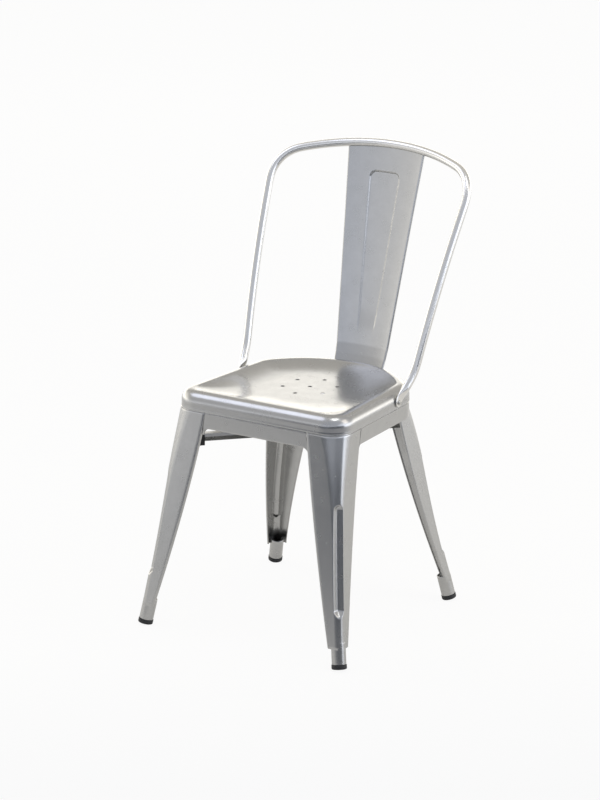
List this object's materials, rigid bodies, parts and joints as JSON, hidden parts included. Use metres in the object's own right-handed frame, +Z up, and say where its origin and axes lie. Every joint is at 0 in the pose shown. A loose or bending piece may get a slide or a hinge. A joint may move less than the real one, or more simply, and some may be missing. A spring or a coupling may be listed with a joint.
{
  "type": "bistro chair",
  "caption": "Stackable sheet metal bistro chair: dished square seat, splayed pressed legs with rubber feet, bent tube hoop back and a tapered centre splat.",
  "frame": {"origin": "on the floor, under the centre of the chair's box", "axes": "+Z up; the chair faces -Y, its back leans towards +Y; X = 0 is the plane of symmetry"},
  "size_m": [0.456, 0.5326, 0.8567],
  "materials": {
    "seat_steel": "satin clear lacquer",
    "leg_steel": "satin clear lacquer",
    "apron_steel": "satin clear lacquer",
    "brace_steel": "satin clear lacquer",
    "tube_steel": "satin clear lacquer",
    "splat_steel": "satin clear lacquer",
    "fastener_steel": "bright zinc",
    "foot_rubber": "matte black",
    "bumper_rubber": "matte black"
  },
  "bodies": {
    "root": {"apron_front": "apron_steel", "apron_left": "apron_steel", "apron_rear": "apron_steel", "apron_right": "apron_steel", "back_hoop": "tube_steel", "back_splat": "splat_steel", "brace_bar_lower": "brace_steel", "brace_bar_upper": "brace_steel", "brace_rivet": "fastener_steel", "bumper_front_left": "bumper_rubber", "bumper_front_right": "bumper_rubber", "bumper_rear_left": "bumper_rubber", "bumper_rear_right": "bumper_rubber", "bumper_screws": "fastener_steel", "foot_plug_front_left": "foot_rubber", "foot_plug_front_right": "foot_rubber", "foot_plug_rear_left": "foot_rubber", "foot_plug_rear_right": "foot_rubber", "hoop_nuts": "fastener_steel", "hoop_screws": "fastener_steel", "leg_front_left": "leg_steel", "leg_front_right": "leg_steel", "leg_rear_left": "leg_steel", "leg_rear_right": "leg_steel", "seat_pan": "seat_steel", "splat_nuts": "fastener_steel", "splat_screws": "fastener_steel"}
  },
  "joints": []
}
